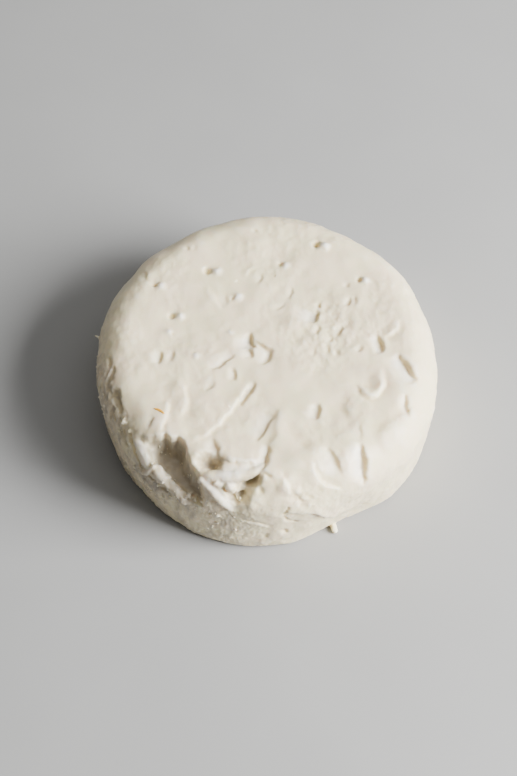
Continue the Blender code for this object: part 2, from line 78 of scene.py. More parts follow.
class Graph:
    def __init__(self, tree):
        self.tree = tree
        tree.nodes.clear()

    # a node of any type: its settings first, then the values or links of its sockets
    def add(self, kind, settings=None, sockets=None, output=0):
        node = self.tree.nodes.new(kind)
        for name, value in (settings or {}).items():
            setattr(node, name, value)
        for name, value in (sockets or {}).items():
            if isinstance(value, Wire):
                self.tree.links.new(value.socket, node.inputs[name])
            else:
                node.inputs[name].default_value = value
        return Wire(self, node.outputs[output]) if node.outputs else None

    def math(self, operation, *values):
        return self.add("ShaderNodeMath", {"operation": operation}, dict(enumerate(values)))

    def ramp(self, value, low, high):  # 0 below low, 1 above high
        sockets = {"Value": value, "From Min": low, "From Max": high}
        return self.add("ShaderNodeMapRange", {"interpolation_type": "SMOOTHSTEP"}, sockets)

    def vector(self, operation, sockets):
        return self.add("ShaderNodeVectorMath", {"operation": operation}, sockets)

    def attribute(self, name):
        if self.tree.type == "SHADER":
            return self.add("ShaderNodeAttribute", {"attribute_name": name}, output=2)
        return self.add("GeometryNodeInputNamedAttribute", {"data_type": "FLOAT"}, {"Name": name})

    def noise(self, place, size, detail=2.0, stretch=None):
        if stretch:
            place = self.vector("MULTIPLY", {0: place, 1: stretch})
        sockets = {"Vector": place, "Scale": 1 / (size * mm), "Detail": detail}
        return self.add("ShaderNodeTexNoise", None, sockets)

    def blend(self, factor, colourA, colourB):
        sockets = {0: factor, 6: colourA, 7: colourB}
        return self.add("ShaderNodeMix", {"data_type": "RGBA"}, sockets, output=2)


def newTree(name, inputs):  # a Geometry Nodes tree with named inputs
    tree = bpy.data.node_groups.new(name, "GeometryNodeTree")
    graph = Graph(tree)
    for socket, kind in {"Geometry": "Geometry", **inputs, "Material": "Material"}.items():
        tree.interface.new_socket(socket, in_out="INPUT", socket_type="NodeSocket" + kind)
    tree.interface.new_socket("Geometry", in_out="OUTPUT", socket_type="NodeSocketGeometry")
    entry = tree.nodes.new("NodeGroupInput")
    return graph, {socket.name: Wire(graph, socket) for socket in entry.outputs if socket.name}


def finishTree(graph, shape, material):
    shape = graph.add("GeometryNodeRealizeInstances", None, {"Geometry": shape})
    shape = graph.add("GeometryNodeSetMaterial", None, {"Geometry": shape, "Material": material})
    graph.add("NodeGroupOutput", None, {"Geometry": shape})
    return graph.tree


def newMaterial(name):  # the material, its graph, and the place on the object
    material = bpy.data.materials.new(name)
    material.use_nodes = True
    graph = Graph(material.node_tree)
    return material, graph, graph.add("ShaderNodeTexCoord", output=3)


def finishMaterial(graph, sockets):
    shader = graph.add("ShaderNodeBsdfPrincipled", None, sockets)
    graph.add("ShaderNodeOutputMaterial", None, {"Surface": shader})


# the intact round
cheese = {
    "radius": 45.0, "height": 31.0,
    "footRadius": 44.0, "footRound": 2.0,
    "shoulderWidth": 9.0, "shoulderDrop": 10.0,
    "shoulderLength": 15.0,  # along the quarter ellipse
    "meshStep": 0.36,
    # where the outline stands out at the top and at the base: azimuth, spread, amount
    "topSwells": [(326, 24, 1.5), (8, 20, -0.9), (60, 22, -0.8), (120, 22, -0.8)],
    "baseSwells": [(256, 20, 1.4), (298, 13, -2.2), (330, 18, 1.6)],
    "footFade": 1.5,  # the marks fade out over this height above the floor
}
flatRadius = cheese["radius"] - cheese["shoulderWidth"]
sideHeight = cheese["height"] - cheese["shoulderDrop"]

# the marks on its skin; a line's points lie on the skin where they have no height of their own
marks = {
    "wander": 0.5, "wanderSizes": (2.4, 0.9),  # how far their edges stray, and how fast
    # where a blade lifted the paste: it falls from the left and ends in a wall on the right
    # start x, y, end x, y, bow, width, depth, 1 for a scooped floor or 0 for a plain facet
    "lifts": [
        (-4.4, 2.6, -2.6, -2, -0.8, 5.4, 1.5, 0), (-5.2, -2.2, -4, -5, 0.4, 3, 0.9, 1),
        (-3.6, 0.2, 2, -3.2, 0.1, 1.8, 0.9, 1), (1.2, -2.6, -1.2, -7, 0.5, 4.2, 0.8, 0),
        (13.2, 9.4, 11.8, 5.4, 0.2, 7, 1.3, 0), (13.9, 4.8, 12.6, 1.9, 0.2, 1.8, 0.5, 1),
        (28.4, 2.2, 30, -3.4, 0.2, 3, 1.5, 0), (33.6, -3.8, 38.4, -11.6, 0.3, 4.6, 1.7, 0),
        (35.5, -15.4, 36.1, -21, -0.3, 2, 1.1, 0), (13.4, -18.2, 12.4, -23.4, 0.2, 3.2, 1.1, 1),
        (23.6, -29.4, 24.7, -38, 0.2, 4.8, 1.7, 0), (15, -30.8, 18.6, -37.6, 0.2, 4.4, 0.8, 0),
        (0.8, -30.8, -1.8, -38.4, 0.6, 2.2, 1.5, 0), (1.8, -21.4, -2.6, -29.8, 0.4, 5, 0.8, 0),
        (-27.7, -3, -27.9, -7.2, 0.4, 3.2, 0.9, 1), (-24.4, -2.8, -24.4, -6.2, 0.2, 1.6, 0.5, 1),
        (-8.2, -4.4, -14.6, -8.8, 0.2, 2.6, 0.8, 0), (-13, -12.6, -15.8, -15.1, 0.1, 1.6, 0.5, 0),
        (-8.8, -7.8, -8.2, -12, 0.1, 1.8, 0.7, 1), (-28, -22.8, -29.4, -25.8, -0.3, 1.8, 0.5, 0),
        (-11.4, 14.9, -10.8, 10.8, 0.4, 3.4, 0.35, 0), (6.6, 16.9, 5.9, 13.2, 0.1, 1.6, 0.45, 0),
        (5, 12, 2.2, 9.8, 0.1, 1.3, 0.35, 0), (13.2, 12.4, 14, 10.4, 0.1, 1.4, 0.6, 1),
        (22, 13.4, 21.2, 10.7, 0.1, 2, 0.6, 1), (23.4, 14.3, 23, 10.7, 0.3, 1.2, 0.4, 0),
        (19.7, 4.7, 17.9, 1.7, 0.3, 1.8, 0.6, 0), (17.4, 1.2, 15.6, 0, 0.1, 1.2, 0.4, 0),
        (15.1, -0.4, 16, -3.8, 0.2, 1.2, 0.4, 0), (18, -2.2, 18.7, -4.4, 0.2, 1, 0.4, 0),
        (12.4, -2.4, 12, -4.8, 0.1, 1, 0.35, 0), (25, -1.5, 23.2, -3.5, 0.2, 1.6, 0.55, 0),
        (-1.8, 21.6, -2.4, 17.6, 0.5, 1.8, 0.45, 0), (21.4, 18.6, 20.9, 17.2, 0.1, 1.4, 0.4, 1),
        (-21.9, 30.6, -21.5, 28.8, 0.1, 1, 0.4, 0), (-19.5, 30.4, -19.8, 29, 0.1, 1, 0.3, 0),
        (-32.8, 22.4, -32, 18.2, -0.2, 1.4, 0.5, 0), (-3.6, 36.2, -3.4, 34.6, 0.1, 1.2, 0.4, 1),
        (23.8, -23, 23.6, -29.6, 0, 4, 0.35, 0), (-13.3, -28.6, -11.8, -34.8, 0.3, 3.4, 0.9, 1),
        (-3, -12.2, -6.6, -18.6, 0.3, 1.4, 1.2, 0),
    ],
    # the edge of a smeared layer: line, height, how far the layer reaches back, width of the edge;
    # from above, the layer lies to the line's right where the height is above 0, else to its left
    "steps": [
        ([(-3.9, -12.4), (-5.6, -15.6), (-8.9, -20.9), (-11.8, -24.7), (-15.1, -28.1), (-18.6, -30)],
         0.6, 3, 0.4),
        ([(-21.6, -11.6), (-20.3, -16.4), (-20.5, -20.2), (-21.8, -24.2)], 0.5, 3, 0.8),
        ([(-24.8, -18), (-25, -22.4), (-26.6, -27.4)], 0.6, 3, 0.6),
        ([(29.4, -6.6), (30, -12.3), (28.6, -15.4), (26.3, -16.6), (24.4, -15.4), (22.9, -12.2)],
         1.1, 2, 0.9),
        ([(34.6, 7.4), (34.1, 4), (32.4, 2.1), (30.4, 1.2)], 0.5, 1.8, 0.6),
        ([(11.2, -35, 30.9), (12.3, -37.6, 30.1), (14.5, -39.6, 28.3), (17, -40, 26.8),
          (19.8, -39.4, 25.4)], 0.7, 2, 0.5),
        ([(37.6, -18.2), (34.6, -20.6), (30.1, -24.6), (26.2, -28)], -0.9, 5, 2),
        ([(23.5, -22.4), (20, -26.4), (17.4, -28.4)], -0.3, 3, 1.4),
        ([(3.3, -19.2), (2.2, -26.4), (0.8, -31.8)], -0.5, 3.5, 1.2),
        ([(5, -21.4), (8, -27), (11.6, -31), (13.2, -35.6)], -0.5, 4.5, 2.2),
        ([(-5.9, 19.9), (-4.6, 22.6), (-2.9, 22.8)], -0.3, 1.6, 0.6),
        ([(-15.8, 17.6), (-13.7, 12.9), (-11.3, 9.1)], 0.3, 1.6, 0.8),
        ([(21.4, -15.6), (20.4, -20), (22, -24)], -0.3, 3, 1.6),
        ([(-11, -34.8), (-8, -35.4), (-4.6, -35.8), (-2, -35.6)], -0.9, 1.8, 0.5),
        ([(3.4, -37.6), (4.8, -39.6), (5.8, -41.2), (6, -43)], 0.6, 2.4, 0.5),
        # folds of the side, whose upper layer stands out over the lower one
        ([(4, -44.7, 21), (5.9, -44.6, 21.4), (8.4, -44.2, 20.6), (11, -43.6, 20.2), (12.8, -43, 18.6),
          (15.2, -42.2, 14.2), (18.6, -41, 11.3), (21.6, -39.5, 8)], -1.3, 3.4, 0.35),
        ([(15.4, -42.2, 12.4), (18.2, -41.2, 9.8), (20.6, -40, 7.4)], -0.6, 1.2, 0.3),
        ([(-7, -44.6, 17.4), (-4.1, -44.8, 16.6), (-1.6, -44.9, 15.7), (1.6, -44.8, 13.6)], 0.5, 1.8, 0.3),
    ],
    # creases, holes and crevices: line, half width at its start, at its end, depth
    "cracks": [
        ([(-38.8, -15.4), (-38.4, -17.2), (-37.6, -19.4)], 1.3, 0.8, 1.5),
        ([(-41, -4.6), (-40.7, -6.8)], 0.8, 0.5, 0.6),
        ([(-39.8, -7.8), (-40.3, -10.6)], 0.5, 0.8, 0.6),
        ([(-40.6, -12.6), (-40.1, -15.2)], 0.5, 0.7, 0.6),
        ([(-39.9, -18.4), (-38.6, -21)], 0.8, 0.4, 0.8),
        ([(-37.2, -22.6, 27.2), (-36.8, -24.4, 26), (-36.3, -27, 23.5)], 0.4, 0.7, 1.1),
        ([(-35, -24.8, 27.4), (-34.2, -28, 25.2), (-33.2, -30.2, 23.2), (-31.8, -32.4, 20.8)], 0.5, 0.5, 1),
        ([(-31.9, -31.9, 21), (-29.8, -33.9, 19.9), (-28.2, -35.2, 18.9), (-26.2, -36.8, 18.2),
          (-24.4, -38.1, 17.6), (-21.9, -39.4, 18.2)], 0.7, 0.45, 1.7),
        ([(-30.9, -32, 11.4), (-29.9, -33, 9.6)], 0.5, 0.4, 0.7),
        ([(-27.5, -28.2, 26.4), (-27.3, -30.2, 24.8), (-28.3, -31.7, 24.4)], 0.7, 0.5, 0.8),
        ([(-15, -35.4), (-12.6, -35.5)], 2.1, 1.8, 3),
        ([(-14, -35.8), (-13.8, -37.4)], 1.6, 1.1, 1.8),
        ([(-2.9, -38.8, 30.6), (-3.8, -39.8, 30.2), (-4.6, -40.9, 29.4), (-5.4, -42.3, 28),
          (-6.2, -43.3, 26.2)], 1.7, 1.3, 2.6),
        ([(-3.8, -39.8, 30.1), (-5, -40.2, 29.6)], 2, 1.6, 1.6),
        ([(-6, -43.3, 26.2), (-7.2, -44, 24.4)], 0.8, 0.5, 1.6),
        ([(-7.2, -41.4, 28.4), (-8, -42.6, 27), (-7.9, -43.8, 24.9)], 0.6, 0.5, 1.2),
        ([(-14, -38.4, 29.2), (-12.4, -39.4, 28.6), (-10.6, -41, 27.8), (-9.2, -42.2, 26.6),
          (-8.2, -43.4, 25.2)], 0.4, 0.5, 1.3),
        ([(-10.2, -39.6, 29), (-9.8, -41, 28.2)], 0.5, 0.4, 0.9),
        ([(5.6, -44.4, 23.5), (4.9, -44.7, 20.8), (5.5, -44.6, 17.1), (7.8, -44.2, 15.1)], 0.35, 0.35, 0.8),
        ([(-0.5, -38.2), (0.8, -39.2)], 0.45, 0.45, 0.7),
        ([(-1.3, -41.8, 28.6), (-0.9, -42.2, 28.2)], 0.5, 0.5, 0.6),
        ([(5, -44.5, 10.6), (5.2, -44.5, 9.4)], 0.6, 0.6, 0.7),
        ([(0.4, -44.7, 9.6), (0.2, -44.6, 7.6)], 0.6, 0.6, 0.6),
        ([(-3.7, -44.3, 5), (-3.5, -44.2, 3.4)], 0.5, 0.5, 0.5),
        ([(7.2, -42.6, 26.9), (8.6, -43, 25.6), (9, -43.6, 24)], 0.5, 0.4, 0.35),
        ([(10, -42.2, 26.8), (11.2, -42.6, 25.4)], 0.5, 0.4, 0.3),
    ],
    "crackEdge": 0.3,  # how far their painted shade reaches past them
    # soft swellings of the skin: x, y, z, radius, height
    "bulges": [
        (-3.2, -43.6, 25.2, 2.6, 0.8), (-4.4, -44.8, 20.2, 2.8, 0.5), (4.2, -41.2, 28.9, 1.7, 0.7),
        (1.8, -44.6, 21.6, 2.6, 0.6), (3, -43.4, 26.4, 2, 0.5), (8.6, -35.6, 31, 4, 0.4),
        (21, -33.6, 31, 3.4, 0.7), (-15.4, -33.2, 31, 3.4, 0.6), (-6.6, -31.2, 31, 5, 0.5),
        (-22.8, -26.2, 31, 2.4, 0.4), (6.5, 5.4, 31, 2.4, 0.5), (1, -40.2, 29.8, 2.2, 0.5),
        (26, -12.6, 31, 2.4, -0.5), (17.5, -20.5, 31, 4.5, -0.5), (-2, -18, 31, 4, -0.4),
        (-23.2, -14, 31, 2.6, 0.4), (-29.4, -5, 31, 1.7, 0.45), (0.6, -4.6, 31, 1.7, -0.45),
        (22, -31, 31, 1.6, 0.35), (11.8, -32.4, 31, 2.2, 0.45), (31.5, 4, 31, 17, 0.6),
        (-0.9, -39.4, 30.2, 1, 0.35), (2.3, -38.9, 30.4, 1.2, 0.4), (5.5, -39.6, 30, 1.3, 0.45),
        (7.3, -41.7, 28.1, 1.3, 0.5),
    ],
    # glossier paste, painted paler as a highlight: line, spread
    "fresh": [
        ([(-11, -38.6, 30.4), (-7, -38.2, 31), (-1.8, -36.7, 31.2)], 1.9),
        ([(-14.6, -39.4, 28.2), (-12.2, -41.7, 26.4), (-9, -43.7, 23.6)], 1.3),
        ([(-10.9, -39.9, 28.6), (-8.5, -40.6, 28.6)], 1.4),
        ([(-32.2, -28.4, 26.6), (-30.8, -30.6, 25.4), (-30.6, -32.4, 23.6)], 1.4),
    ],
    # the eaten-looking band on the left: the ends of its spans, and how fast it fades there
    "pitted": {"azimuths": (183, 222, 12, 8), "heights": (13, 29.6, 5, 1.5), "size": 2.0, "depth": 0.6},
    # pinholes: x, y, size, the bead beside it in x and y from there, bead height
    "pins": [
        (13.1, 31.2, 0.95, 2.2, -0.8, 0.95), (-15.9, 22.4, 0.9, 2.4, -0.5, 0.75),
        (3.1, 24.6, 0.6, 1.9, -0.5, 0.6), (24.6, 19.5, 0.65, 1.6, -0.3, 0.75),
        (-30.2, 17.5, 0.7, 2, -0.8, 0.6), (-25.2, 8, 0.65, 2.3, -0.5, 0.8),
        (-8.7, 13.3, 0.5, 1, 0.2, 0.6), (-24.7, 2, 0.45, -0.9, 0.6, 0.5),
        (-18.4, -3.7, 0.3, 0.2, -1.1, 0.45), (-8.9, 3, 0.3, -0.4, -0.4, 0.4),
    ],
}

# what has broken away at the front left
notch = {
    # rim: x, y, how wide the wall under it is
    "rim": [
        (-34.6, -26.6, 1.2), (-32.6, -26.6, 1), (-30.4, -27, 0.8), (-28.4, -27.5, 0.9), (-26.6, -27.7, 1.2),
        (-25, -27.2, 1.2), (-23.8, -28.3, 1.2), (-22.1, -27.9, 1.7), (-20.4, -29.2, 2.2),
        (-19.4, -31.2, 2.2), (-19, -33.7, 2), (-17.6, -35.9, 1.8), (-16.2, -37.5, 1.6), (-15.4, -38.9, 1.4),
        (-15, -40.2, 1.3), (-14.8, -41.6, 1.2), (-14.6, -44, 1),
    ],
    # its floor: x, y, height
    "floor": [
        (-35.2, -28.8, 25.4), (-33.4, -28.2, 27.2), (-33.2, -30.6, 25.4), (-31.6, -32.8, 23.2),
        (-30.6, -28.6, 27.4), (-30.4, -30.9, 25.8), (-28.6, -29.2, 26.4), (-28.7, -31.7, 24.6),
        (-26.2, -30, 22.8), (-26, -32.4, 21.6), (-24, -31.4, 21.6), (-22, -33.4, 21.4), (-21, -35.6, 21),
        (-19.6, -37.6, 20.4), (-18.2, -39.6, 19.6), (-17.2, -41.6, 18.6), (-29.4, -34.2, 22.8),
        (-27.6, -35, 22.2), (-25.8, -36.6, 21.2), (-23.4, -38, 20.2), (-21.4, -39.8, 19), (-19, -42, 17.4),
    ],
    "spread": 1.5,  # how far each of those heights reaches
    "ragged": 0.6, "raggedSizes": (2.2, 0.9),  # how far the rim wanders, and how fast
    "crags": 0.4,  # how far the floor is uneven
    "width": 14, "bottom": 12,  # nothing farther from the rim, or lower, is touched
    "azimuths": (218, 249, 8, 6),  # the side's broken part: its ends, and how fast it fades there
}

# rolls of paste: line, radii along it
rolls = [
    ([(-15.4, -38, 28.2), (-13.2, -38.3, 28.6), (-10.3, -38.5, 28.9), (-7, -38.6, 29.2),
      (-4.2, -38.1, 29.6), (-1.8, -36.9, 30.1), (-0.4, -35.8, 30.1)], [0.9, 1.5, 1.9, 2, 1.4, 0.9, 0.5]),
    ([(-15.6, -38.5, 27.4), (-14, -40.1, 26.8), (-12.2, -41.7, 25.5), (-10.4, -42.9, 24.1),
      (-9, -43.7, 22.7), (-8, -44.1, 21.2)], [0.9, 1.3, 1.5, 1.45, 1.1, 0.5]),
    ([(-28.2, -32.9, 24.2), (-27, -34.4, 23.4), (-25.8, -35.7, 21.9), (-24.4, -36.8, 20.8),
      (-22.7, -37.9, 20.5), (-21.3, -39.3, 19.1), (-20.2, -40.5, 17.6)],
     [0.6, 1.3, 1.6, 0.9, 1.4, 1.2, 0.6]),
    ([(-30.8, -33.2, 20.6), (-29.8, -33.9, 22.4), (-28.2, -33.8, 25.2)], [0.75, 0.5, 0.35]),
]

# lumps of paste: centre, radii (along the heading, across it, up), heading, pitch, roughness
lumps = {
    "curds": [
        ((-11.5, -40, 28.3), (1.8, 1.3, 1.3), 350, 10, 0.08),
        ((-8.7, -41, 28.1), (2, 1.6, 1.5), 320, 0, 0.08),
        ((-26.6, -33.8, 24.1), (0.9, 0.6, 0.8), 310, 0, 0.25),
        ((-26.9, -35.6, 23), (0.6, 0.9, 0.9), 300, 0, 0.25),
        ((-24.7, -35.4, 22.4), (1, 0.7, 0.8), 340, 0, 0.25),
        ((-24.9, -37.4, 21), (0.8, 0.6, 1), 310, 0, 0.25),
        ((-23.5, -36.8, 21.6), (0.9, 0.6, 0.7), 330, 0, 0.25),
        ((-22.2, -38.8, 20.6), (0.9, 0.6, 1), 300, 0, 0.25),
        ((-20.8, -38.6, 20.2), (0.8, 0.7, 0.7), 320, 0, 0.25),
        ((-6.5, -43.1, 25.9), (0.75, 0.75, 1.3), 0, 20, 0.1),
        ((-15.8, -38.9, 27.7), (1, 0.9, 1.1), 0, 0, 0.14),
        ((-30.8, -33.2, 20.6), (0.8, 0.8, 0.8), 0, 0, 0.1),
        ((18.2, -39.1, 0.8), (2, 0.95, 1.2), 278, 0, 0.08),
        ((-36.3, -22.6, 27.5), (0.8, 0.8, 1.3), 0, 0, 0.25),
        ((-34.8, -25.1, 27.4), (0.5, 0.6, 0.8), 0, 0, 0.25),
        ((-45, 5.8, 23), (1.2, 0.45, 0.4), 170, -30, 0.1),
    ],
    "rollRoughness": 0.14, "rollSides": 20,
    "facets": 14, "facetReach": (0.72, 0.98), "edgeSharpness": 9,
    # the small curds along the break's lower lip; their reach is from the outline
    "lipCurds": 60, "lipAzimuths": (222, 256), "lipHeights": (15, 20.5),
    "lipSizes": (0.4, 0.9), "lipReach": (-1, -0.3),
    "voxel": 0.29, "softening": 3, "seed": 7,
}


def smooth(t):
    t = np.clip(t, 0, 1)
    return t * t * (3 - 2 * t)


def span(values, low, high, fadeIn, fadeOut):  # 1 between low and high, fading to 0 at both ends
    return smooth((values - low) / fadeIn) * smooth((high - values) / fadeOut)


def azimuthOf(points):  # degrees about the middle, 0 to 360
    return np.degrees(np.arctan2(points[:, 1], points[:, 0])) % 360


def turnTo(azimuth, other):  # degrees from one azimuth to another, -180 to 180
    return (azimuth - other + 180) % 360 - 180


def outlineSwell(azimuth, high):  # how far the outline stands out
    swells = [sum(a * np.exp(-((turnTo(azimuth, at) / spread) ** 2)) for at, spread, a in cheese[name])
              for name in ("baseSwells", "topSwells")]
    high = smooth(high)
    return swells[0] * (1 - high) + swells[1] * high


def radiusOf(z):  # the intact round's radius at each height below the shoulder
    down = np.clip((sideHeight - z) / (sideHeight - cheese["footRound"]), 0, 1)
    foot = np.clip(1 - z / cheese["footRound"], 0, 1)
    bulge = (cheese["radius"] - cheese["footRadius"]) * (1 - down**2)
    return cheese["footRadius"] + bulge - cheese["footRound"] * (1 - np.sqrt(1 - foot**2))


def skinHeight(x, y):  # the intact round's height over a place on its top or shoulder
    out = np.clip((np.hypot(x, y) - flatRadius) / cheese["shoulderWidth"], 0, 1)
    return cheese["height"] - cheese["shoulderDrop"] * (1 - np.sqrt(1 - out**2))


def depthBelowSkin(points):  # how deep each point lies under the intact round's surface
    z = points[:, 2]
    reach = np.hypot(points[:, 0], points[:, 1])
    reach = reach - outlineSwell(azimuthOf(points), z / sideHeight) * (reach / cheese["radius"]) ** 3
    out = np.clip((reach - flatRadius) / cheese["shoulderWidth"], 0, None)
    up = np.clip((z - sideHeight) / cheese["shoulderDrop"], 0, None)
    shoulder = (1 - np.hypot(out, up)) * cheese["shoulderWidth"]
    below = np.where(reach < flatRadius, cheese["height"] - z, shoulder)
    return np.where(z < sideHeight, radiusOf(z) - reach, below)


def onSkin(line):
    return np.array([p if len(p) == 3 else (*p, float(skinHeight(*p))) for p in line])


def smoothLine(line, steps=5):  # a Catmull-Rom curve through the points
    ends = [line[0], *line, line[-1]]
    points = []
    for p0, p1, p2, p3 in zip(ends, ends[1:], ends[2:], ends[3:]):
        for t in np.arange(steps) / steps:
            weights = (-t + 2 * t**2 - t**3, 2 - 5 * t**2 + 3 * t**3, t + 4 * t**2 - 3 * t**3, t**3 - t**2)
            points.append(sum(w * p for w, p in zip(weights, (p0, p1, p2, p3))) / 2)
    return np.array([*points, line[-1]])


# distance to a line of points, how far to its right (seen from outside), and how far along it
def nearLine(points, normals, line):
    nearest = np.full(len(points), 1e9)
    side, share = np.zeros(len(points)), np.zeros(len(points))
    for i, (a, b) in enumerate(zip(line, line[1:])):
        run = b - a
        t = np.clip((points - a) @ run / (run @ run), 0, 1)
        off = points - a - t[:, None] * run
        away = np.linalg.norm(off, axis=1)
        right = (off * np.cross(run / np.linalg.norm(run), normals)).sum(1)
        closer = away < nearest
        nearest = np.where(closer, away, nearest)
        side = np.where(closer, np.sign(right) * away, side)
        share = np.where(closer, (i + t) / (len(line) - 1), share)
    return nearest, side, share


def around(points, line, margin):  # the points whose place is in a box about the line
    low, high = line.min(0) - margin, line.max(0) + margin
    return np.flatnonzero(((points > low) & (points < high)).all(1))


# the points about a smooth line, and what nearLine says of them
def besideLine(points, normals, line, margin):
    line = smoothLine(onSkin(line))
    near = around(points, line, margin)
    return near, *nearLine(points[near], normals[near], line)


def raiseTo(values, where, others):  # keeps the larger of two values
    values[where] = np.maximum(values[where], others)


def liftRelief(x, y, lift):
    startX, startY, endX, endY, bow, width, depth, scooped = lift
    dx, dy = endX - startX, endY - startY
    length = math.hypot(dx, dy)
    along = ((x - startX) * dx + (y - startY) * dy) / length**2
    across = (-dy * (x - startX) + dx * (y - startY)) / length
    arch = np.clip(4 * along * (1 - along), 0, 1)
    across = across - bow * arch
    wall = (0.36 * depth + 0.35) * (0.4 + 0.6 * arch)
    share = np.clip(across / width + 1, 0, 1)
    floor = smooth(share) if scooped else share**1.2
    dip = np.where(across < 0, floor, 1 - smooth(across / wall)) * arch**0.7
    lip = 0.1 * np.exp(-(((across - wall - 0.5) / 0.7) ** 2)) * arch**0.7
    # the wall faces away from the light; its golden colour is painted shade
    inWall = np.exp(-(((across - 0.3 * wall) / (0.55 * wall + 0.25)) ** 2))
    # the slope that faces the light is painted pale: painted highlight
    facet = np.where(across < 0, smooth(1.4 * share), 0) * smooth(1.5 * arch) * min(0.5 * depth, 1)
    return depth * (lip - dip), inWall * smooth(1.5 * arch) * min(0.6 * depth, 1), facet


def stepRelief(side, nearest, share, height, reach, width):
    fade = smooth(4 * share) * smooth(4 * (1 - share))
    side = -side if height > 0 else side
    upper = smooth(0.5 - side / width / 2) * np.exp(-((nearest / reach) ** 2))
    lower = smooth(0.5 + side / width / 2) * np.exp(-((nearest / (0.6 * reach)) ** 2))
    # the crease's golden colour is painted shade
    crease = np.exp(-(((side - 0.5 * width) / width) ** 2)) * fade
    return abs(height) * fade * (0.7 * upper - 0.4 * lower), 0.2 * crease * min(abs(height), 1)


def pinRelief(x, y, pin):
    px, py, size, bx, by, bead = pin
    # the hole is painted golden as shade, and the bead beside it pale as a highlight
    hole = np.exp(-((np.hypot(x - px, y - py) / size) ** 3))
    lump = np.exp(-((np.hypot(x - px - bx, y - py - by) / (0.75 + 0.45 * size)) ** 2.4))
    return bead * lump - 1.3 * size * hole, hole, lump


# the marks' height above the intact skin, and where each place gets painted shade (golden or dark) and
# painted highlight (pale)
def skinRelief(points, normals):
    height, goldenShade, hollow, fresh = (np.zeros(len(points)) for i in range(4))
    broad, fine = marks["wanderSizes"]
    wander = [noiseAt(points, broad, s) + 0.5 * noiseAt(points, fine, s) for s in (3.1, 7.7, 12.9)]
    points = points + marks["wander"] * np.stack(wander, 1)
    onTop = np.flatnonzero(points[:, 2] > sideHeight)
    x, y = points[onTop, 0], points[onTop, 1]
    for relief, items in ((liftRelief, marks["lifts"]), (pinRelief, marks["pins"])):
        for item in items:
            rise, gold, facet = relief(x, y, item)
            height[onTop] += rise
            raiseTo(goldenShade, onTop, gold)
            raiseTo(fresh, onTop, facet)
    for line, step, reach, width in marks["steps"]:
        near, nearest, side, share = besideLine(points, normals, line, 2.5 * reach)
        rise, gold = stepRelief(side, nearest, share, step, reach, width)
        height[near] += rise
        raiseTo(goldenShade, near, gold)
    for line, startWidth, endWidth, depth in marks["cracks"]:
        near, nearest, side, share = besideLine(points, normals, line, 3 * max(startWidth, endWidth))
        width = startWidth + (endWidth - startWidth) * share
        height[near] -= depth * np.exp(-((nearest / width) ** 3))
        # painted shade: golden along each crevice, and dark in the deep ones
        edge = nearest / (width + marks["crackEdge"])
        raiseTo(goldenShade, near, np.exp(-(edge**2)) * min(0.6 * depth, 1))
        raiseTo(hollow, near, np.exp(-(edge**4)) * smooth((depth - 0.8) / 1.8))
    for *centre, radius, rise in marks["bulges"]:
        away = np.linalg.norm(points - centre, axis=1)
        height += rise * np.exp(-((away / radius) ** 2))
    pitted = marks["pitted"]
    band = span(azimuthOf(points), *pitted["azimuths"]) * span(points[:, 2], *pitted["heights"])
    near = np.flatnonzero(band > 0)
    size = pitted["size"]
    eaten = noiseAt(points[near], (size, size, 1.4 * size), 5.5)
    eaten += 0.5 * noiseAt(points[near], 0.5 * size, 8.8)
    pits = smooth((eaten - 0.05) / 0.45) * band[near]
    height[near] -= pitted["depth"] * pits
    # painted shade: the pits are darkened, and the whole band a little less
    raiseTo(hollow, near, 0.35 * band[near] + 0.65 * pits)
    return height, goldenShade, hollow, fresh


def noiseAt(points, sizes, seedShift=0.0):  # one smooth random value, about -1 to 1, for each point
    scaled = points / np.array(sizes) + seedShift
    return np.array([noise.noise(Vector(p)) for p in scaled])


def cutNotch(points):  # lowers what lies inside the notch's rim to its floor
    rim = np.array([(x, y, 0) for x, y, wall in notch["rim"]])
    walls = [row[2] for row in notch["rim"]]
    near = around(points * (1, 1, 0), rim, notch["width"])
    near = near[points[near, 2] > notch["bottom"]]
    flat = points[near] * (1, 1, 0)
    broad, fine = notch["raggedSizes"]
    wander = [noiseAt(flat, broad, a) + 0.5 * noiseAt(flat, fine, b) for a, b in ((4.2, 1.2), (9.1, 6.1))]
    wander = np.stack([*wander, np.zeros(len(near))], 1)
    upward = np.tile((0, 0, 1.0), (len(near), 1))
    side, share = nearLine(flat + notch["ragged"] * wander, upward, rim)[1:]
    wall = np.interp(share * (len(rim) - 1), np.arange(len(rim)), walls)
    heights, weights = np.zeros(len(near)), np.zeros(len(near))
    for x, y, z in notch["floor"]:
        away = np.hypot(flat[:, 0] - x, flat[:, 1] - y)
        weight = np.exp(-((away / notch["spread"]) ** 2)) + 1e-4 / (1 + away**4)
        heights += weight * z
        weights += weight
    crag = noiseAt(points[near], (1.2, 1.2, 3.6), 2.3) + 0.6 * noiseAt(points[near], 0.8, 6.1)
    inside = smooth(side / wall)
    floor = heights / weights + notch["crags"] * crag
    top = points[near, 2]
    lowered = top + (np.minimum(floor, top) - top) * inside
    points[near, 2] = np.where(side > 0, lowered, top)
    return points


